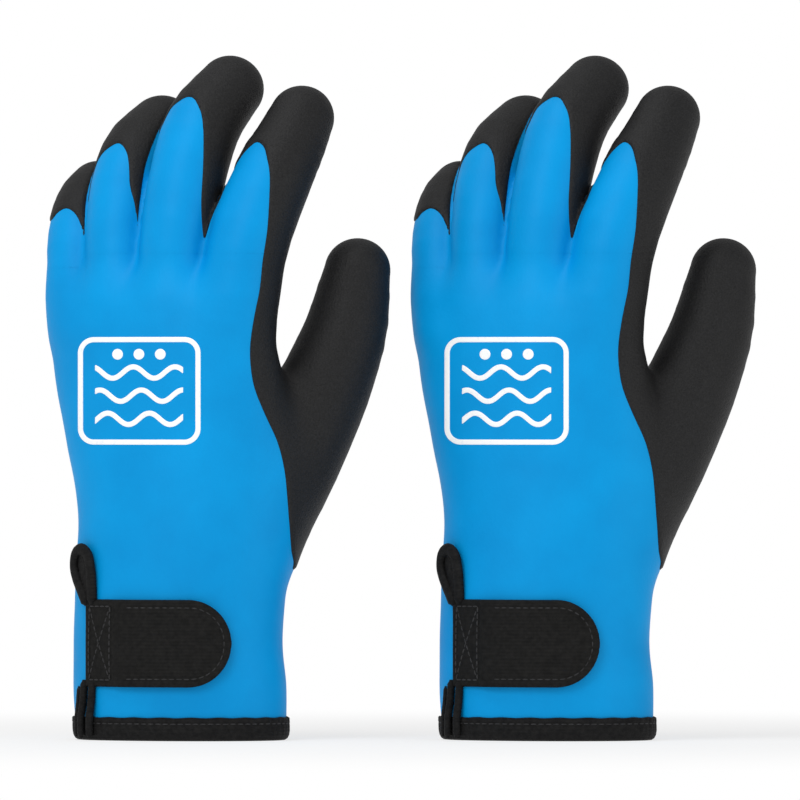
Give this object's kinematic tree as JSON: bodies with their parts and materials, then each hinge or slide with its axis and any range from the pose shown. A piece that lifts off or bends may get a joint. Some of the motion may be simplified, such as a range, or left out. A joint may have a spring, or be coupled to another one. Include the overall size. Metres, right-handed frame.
{
  "type": "sailing gloves",
  "caption": "Pair of waterproof dipped sailing gloves: latex shell, sandy grip coating, fleece liner, bound hem and hook-and-loop wrist strap; fingers flex, thumb opens, strap peels.",
  "frame": {"origin": "centre of the pair, on the plane that both hems stand on", "axes": "+Z from the hems to the fingertips, +X towards the thumbs and from one glove to the other, +Y towards the palms"},
  "size_m": [0.2659, 0.0891, 0.2549],
  "materials": {
    "latex_blue": "smooth satin",
    "grip_coating": "sandy matte",
    "fleece_lining": "brushed",
    "binding_tape": "woven",
    "strap_webbing": "woven",
    "thread": "twisted",
    "hook_tape": "hooked",
    "loop_tape": "looped",
    "white_print": "screen print"
  },
  "bodies": {
    "hand_a": {"glove_a_hand_shell": "latex_blue", "glove_a_palm_coating": "grip_coating", "glove_a_hand_liner": "fleece_lining", "glove_a_hem_binding": "binding_tape", "glove_a_slit_binding": "binding_tape", "glove_a_strap_sewn_end": "strap_webbing", "glove_a_strap_stitching": "thread", "glove_a_cuff_loop_patch": "loop_tape", "glove_a_back_print": "white_print"},
    "thumb_a": {"glove_a_thumb_shell": "latex_blue", "glove_a_thumb_coating": "grip_coating", "glove_a_thumb_liner": "fleece_lining"},
    "index_a": {"glove_a_index_shell": "latex_blue", "glove_a_index_coating": "grip_coating", "glove_a_index_liner": "fleece_lining"},
    "middle_a": {"glove_a_middle_shell": "latex_blue", "glove_a_middle_coating": "grip_coating", "glove_a_middle_liner": "fleece_lining"},
    "ring_a": {"glove_a_ring_shell": "latex_blue", "glove_a_ring_coating": "grip_coating", "glove_a_ring_liner": "fleece_lining"},
    "little_a": {"glove_a_little_shell": "latex_blue", "glove_a_little_coating": "grip_coating", "glove_a_little_liner": "fleece_lining"},
    "strap_a": {"glove_a_strap": "strap_webbing", "glove_a_strap_hook_patch": "hook_tape"},
    "hand_b": {"glove_b_hand_shell": "latex_blue", "glove_b_palm_coating": "grip_coating", "glove_b_hand_liner": "fleece_lining", "glove_b_hem_binding": "binding_tape", "glove_b_slit_binding": "binding_tape", "glove_b_strap_sewn_end": "strap_webbing", "glove_b_strap_stitching": "thread", "glove_b_cuff_loop_patch": "loop_tape", "glove_b_back_print": "white_print"},
    "thumb_b": {"glove_b_thumb_shell": "latex_blue", "glove_b_thumb_coating": "grip_coating", "glove_b_thumb_liner": "fleece_lining"},
    "index_b": {"glove_b_index_shell": "latex_blue", "glove_b_index_coating": "grip_coating", "glove_b_index_liner": "fleece_lining"},
    "middle_b": {"glove_b_middle_shell": "latex_blue", "glove_b_middle_coating": "grip_coating", "glove_b_middle_liner": "fleece_lining"},
    "ring_b": {"glove_b_ring_shell": "latex_blue", "glove_b_ring_coating": "grip_coating", "glove_b_ring_liner": "fleece_lining"},
    "little_b": {"glove_b_little_shell": "latex_blue", "glove_b_little_coating": "grip_coating", "glove_b_little_liner": "fleece_lining"},
    "strap_b": {"glove_b_strap": "strap_webbing", "glove_b_strap_hook_patch": "hook_tape"}
  },
  "joints": [
    {"name": "index_flex_a", "type": "hinge", "parent": "hand_a", "child": "index_a", "pos_m": [-0.0588, -0.0267, 0.176], "axis": [-0.848, 0.5299, 0], "range_deg": [-15, 45], "stiffness_Nm_per_rad": 0.05},
    {"name": "middle_flex_a", "type": "hinge", "parent": "hand_a", "child": "middle_a", "pos_m": [-0.0834, -0.0181, 0.176], "axis": [-0.848, 0.5299, 0], "range_deg": [-15, 45], "stiffness_Nm_per_rad": 0.05},
    {"name": "ring_flex_a", "type": "hinge", "parent": "hand_a", "child": "ring_a", "pos_m": [-0.1037, -0.0055, 0.176], "axis": [-0.848, 0.5299, 0], "range_deg": [-15, 45], "stiffness_Nm_per_rad": 0.05},
    {"name": "little_flex_a", "type": "hinge", "parent": "hand_a", "child": "little_a", "pos_m": [-0.1193, 0.0054, 0.172], "axis": [-0.848, 0.5299, 0], "range_deg": [-15, 45], "stiffness_Nm_per_rad": 0.05},
    {"name": "thumb_opening_a", "type": "hinge", "parent": "hand_a", "child": "thumb_a", "pos_m": [-0.0315, -0.0093, 0.122], "axis": [0.6, 0.8, 0], "range_deg": [-8, 25], "stiffness_Nm_per_rad": 0.06},
    {"name": "strap_peel_a", "type": "hinge", "parent": "hand_a", "child": "strap_a", "pos_m": [-0.1065, -0.03505, 0.03625], "axis": [0, 0, -1], "range_deg": [0, 80]},
    {"name": "index_flex_b", "type": "hinge", "parent": "hand_b", "child": "index_b", "pos_m": [0.0778, -0.0267, 0.176], "axis": [-0.848, 0.5299, 0], "range_deg": [-15, 45], "stiffness_Nm_per_rad": 0.05},
    {"name": "middle_flex_b", "type": "hinge", "parent": "hand_b", "child": "middle_b", "pos_m": [0.0532, -0.0181, 0.176], "axis": [-0.848, 0.5299, 0], "range_deg": [-15, 45], "stiffness_Nm_per_rad": 0.05},
    {"name": "ring_flex_b", "type": "hinge", "parent": "hand_b", "child": "ring_b", "pos_m": [0.0329, -0.0055, 0.176], "axis": [-0.848, 0.5299, 0], "range_deg": [-15, 45], "stiffness_Nm_per_rad": 0.05},
    {"name": "little_flex_b", "type": "hinge", "parent": "hand_b", "child": "little_b", "pos_m": [0.0173, 0.0054, 0.172], "axis": [-0.848, 0.5299, 0], "range_deg": [-15, 45], "stiffness_Nm_per_rad": 0.05},
    {"name": "thumb_opening_b", "type": "hinge", "parent": "hand_b", "child": "thumb_b", "pos_m": [0.1051, -0.0093, 0.122], "axis": [0.6, 0.8, 0], "range_deg": [-8, 25], "stiffness_Nm_per_rad": 0.06},
    {"name": "strap_peel_b", "type": "hinge", "parent": "hand_b", "child": "strap_b", "pos_m": [0.0301, -0.03505, 0.03625], "axis": [0, 0, -1], "range_deg": [0, 80]},
    {"name": "glove_b_lift", "type": "slide", "parent": "hand_a", "child": "hand_b", "axis": [0, 0, 1], "range_m": [0, 0.28]}
  ]
}
